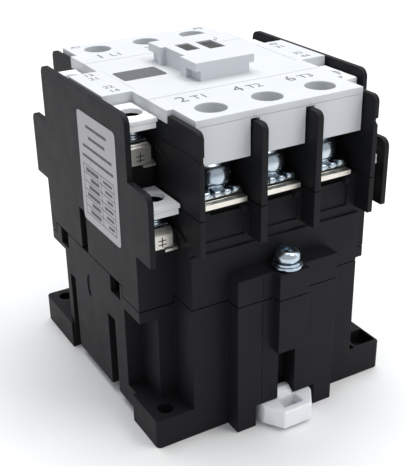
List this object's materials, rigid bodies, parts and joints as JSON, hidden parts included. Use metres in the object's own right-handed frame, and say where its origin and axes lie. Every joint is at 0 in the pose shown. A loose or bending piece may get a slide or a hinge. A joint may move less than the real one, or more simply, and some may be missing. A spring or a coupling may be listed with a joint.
{
  "type": "din rail contactor",
  "caption": "Box-shaped electromagnetic contactor for a 35 mm DIN rail, with screw terminals between ribs, a light cover and stepped auxiliary contact tiers.",
  "frame": {"origin": "centre of the face that sits on the 35 mm rail, 2.6 mm above the mounting panel", "axes": "+Z away from the panel towards the front cover, +Y along the poles from the load side to the line side, +X across the poles"},
  "size_m": [0.075, 0.0982, 0.0946],
  "materials": {
    "black_moulding": "fine matt mould texture",
    "grey_moulding": "fine matt mould texture",
    "white_moulding": "satin",
    "tinned_copper": "satin tin plate",
    "bright_zinc": "bright zinc plate",
    "nylon": "natural, slightly translucent",
    "core_steel": "ground laminations",
    "rubber": "matt",
    "bobbin_nylon": "satin",
    "enamelled_copper": "enamelled wire",
    "carrier_moulding": "matt",
    "contact_copper": "satin",
    "spring_steel": "bright drawn wire"
  },
  "bodies": {
    "housing": {"arc_housing": "black_moulding", "assembly_screw_line": "bright_zinc", "assembly_screw_load": "bright_zinc", "aux_guard_lower_left": "white_moulding", "aux_guard_lower_right": "white_moulding", "aux_guard_upper_left": "white_moulding", "aux_guard_upper_right": "white_moulding", "aux_terminal_lower_left_line": "tinned_copper", "aux_terminal_lower_left_load": "tinned_copper", "aux_terminal_lower_right_line": "tinned_copper", "aux_terminal_lower_right_load": "tinned_copper", "aux_terminal_upper_left_line": "tinned_copper", "aux_terminal_upper_left_load": "tinned_copper", "aux_terminal_upper_right_line": "tinned_copper", "aux_terminal_upper_right_load": "tinned_copper", "base_housing": "black_moulding", "coil_bobbin": "bobbin_nylon", "coil_terminal_a1": "tinned_copper", "coil_terminal_a2": "tinned_copper", "coil_winding": "enamelled_copper", "contact_housing": "black_moulding", "core_cushion": "rubber", "fixed_core": "core_steel", "front_cover": "grey_moulding", "line_terminal_1": "tinned_copper", "line_terminal_2": "tinned_copper", "line_terminal_3": "tinned_copper", "load_terminal_1": "tinned_copper", "load_terminal_2": "tinned_copper", "load_terminal_3": "tinned_copper", "return_spring": "spring_steel"},
    "carrier": {"contact_carrier": "carrier_moulding", "moving_core": "core_steel", "moving_contact_1": "contact_copper", "contact_spring_1": "spring_steel", "moving_contact_2": "contact_copper", "contact_spring_2": "spring_steel", "moving_contact_3": "contact_copper", "contact_spring_3": "spring_steel", "aux_bridge_lower_left": "contact_copper", "aux_bridge_upper_left": "contact_copper", "aux_bridge_lower_right": "contact_copper", "aux_bridge_upper_right": "contact_copper"},
    "rail_clip": {"din_clip": "nylon"},
    "load_screw_1": {"load_screw_1": "bright_zinc"},
    "load_screw_2": {"load_screw_2": "bright_zinc"},
    "load_screw_3": {"load_screw_3": "bright_zinc"},
    "line_screw_1": {"line_screw_1": "bright_zinc"},
    "line_screw_2": {"line_screw_2": "bright_zinc"},
    "line_screw_3": {"line_screw_3": "bright_zinc"},
    "aux_screw_lower_left_load": {"aux_screw_lower_left_load": "bright_zinc"},
    "aux_screw_lower_left_line": {"aux_screw_lower_left_line": "bright_zinc"},
    "aux_screw_upper_left_load": {"aux_screw_upper_left_load": "bright_zinc"},
    "aux_screw_upper_left_line": {"aux_screw_upper_left_line": "bright_zinc"},
    "aux_screw_lower_right_load": {"aux_screw_lower_right_load": "bright_zinc"},
    "aux_screw_lower_right_line": {"aux_screw_lower_right_line": "bright_zinc"},
    "aux_screw_upper_right_load": {"aux_screw_upper_right_load": "bright_zinc"},
    "aux_screw_upper_right_line": {"aux_screw_upper_right_line": "bright_zinc"},
    "coil_screw_a1": {"coil_screw_a1": "bright_zinc"},
    "coil_screw_a2": {"coil_screw_a2": "bright_zinc"}
  },
  "joints": [
    {"name": "carrier_slide", "type": "slide", "parent": "housing", "child": "carrier", "axis": [0, 0, 1], "range_m": [-0.0045, 0], "stiffness_N_per_m": 400, "springref_m": 0.006, "deforming": ["return_spring"]},
    {"name": "rail_clip_slide", "type": "slide", "parent": "housing", "child": "rail_clip", "axis": [0, -1, 0], "range_m": [0, 0.0035], "stiffness_N_per_m": 1500, "springref_m": -0.003},
    {"name": "load_screw_1_slide", "type": "slide", "parent": "housing", "child": "load_screw_1", "axis": [0, 0, 1], "range_m": [0, 0.004]},
    {"name": "load_screw_2_slide", "type": "slide", "parent": "housing", "child": "load_screw_2", "axis": [0, 0, 1], "range_m": [0, 0.004]},
    {"name": "load_screw_3_slide", "type": "slide", "parent": "housing", "child": "load_screw_3", "axis": [0, 0, 1], "range_m": [0, 0.004]},
    {"name": "line_screw_1_slide", "type": "slide", "parent": "housing", "child": "line_screw_1", "axis": [0, 0, 1], "range_m": [0, 0.004]},
    {"name": "line_screw_2_slide", "type": "slide", "parent": "housing", "child": "line_screw_2", "axis": [0, 0, 1], "range_m": [0, 0.004]},
    {"name": "line_screw_3_slide", "type": "slide", "parent": "housing", "child": "line_screw_3", "axis": [0, 0, 1], "range_m": [0, 0.004]},
    {"name": "aux_screw_lower_left_load_slide", "type": "slide", "parent": "housing", "child": "aux_screw_lower_left_load", "axis": [0, 0, 1], "range_m": [0, 0.0025]},
    {"name": "aux_screw_lower_left_line_slide", "type": "slide", "parent": "housing", "child": "aux_screw_lower_left_line", "axis": [0, 0, 1], "range_m": [0, 0.0025]},
    {"name": "aux_screw_upper_left_load_slide", "type": "slide", "parent": "housing", "child": "aux_screw_upper_left_load", "axis": [0, 0, 1], "range_m": [0, 0.0025]},
    {"name": "aux_screw_upper_left_line_slide", "type": "slide", "parent": "housing", "child": "aux_screw_upper_left_line", "axis": [0, 0, 1], "range_m": [0, 0.0025]},
    {"name": "aux_screw_lower_right_load_slide", "type": "slide", "parent": "housing", "child": "aux_screw_lower_right_load", "axis": [0, 0, 1], "range_m": [0, 0.0025]},
    {"name": "aux_screw_lower_right_line_slide", "type": "slide", "parent": "housing", "child": "aux_screw_lower_right_line", "axis": [0, 0, 1], "range_m": [0, 0.0025]},
    {"name": "aux_screw_upper_right_load_slide", "type": "slide", "parent": "housing", "child": "aux_screw_upper_right_load", "axis": [0, 0, 1], "range_m": [0, 0.0025]},
    {"name": "aux_screw_upper_right_line_slide", "type": "slide", "parent": "housing", "child": "aux_screw_upper_right_line", "axis": [0, 0, 1], "range_m": [0, 0.0025]},
    {"name": "coil_screw_a1_slide", "type": "slide", "parent": "housing", "child": "coil_screw_a1", "axis": [0, 0, 1], "range_m": [0, 0.003]},
    {"name": "coil_screw_a2_slide", "type": "slide", "parent": "housing", "child": "coil_screw_a2", "axis": [0, 0, 1], "range_m": [0, 0.003]}
  ]
}
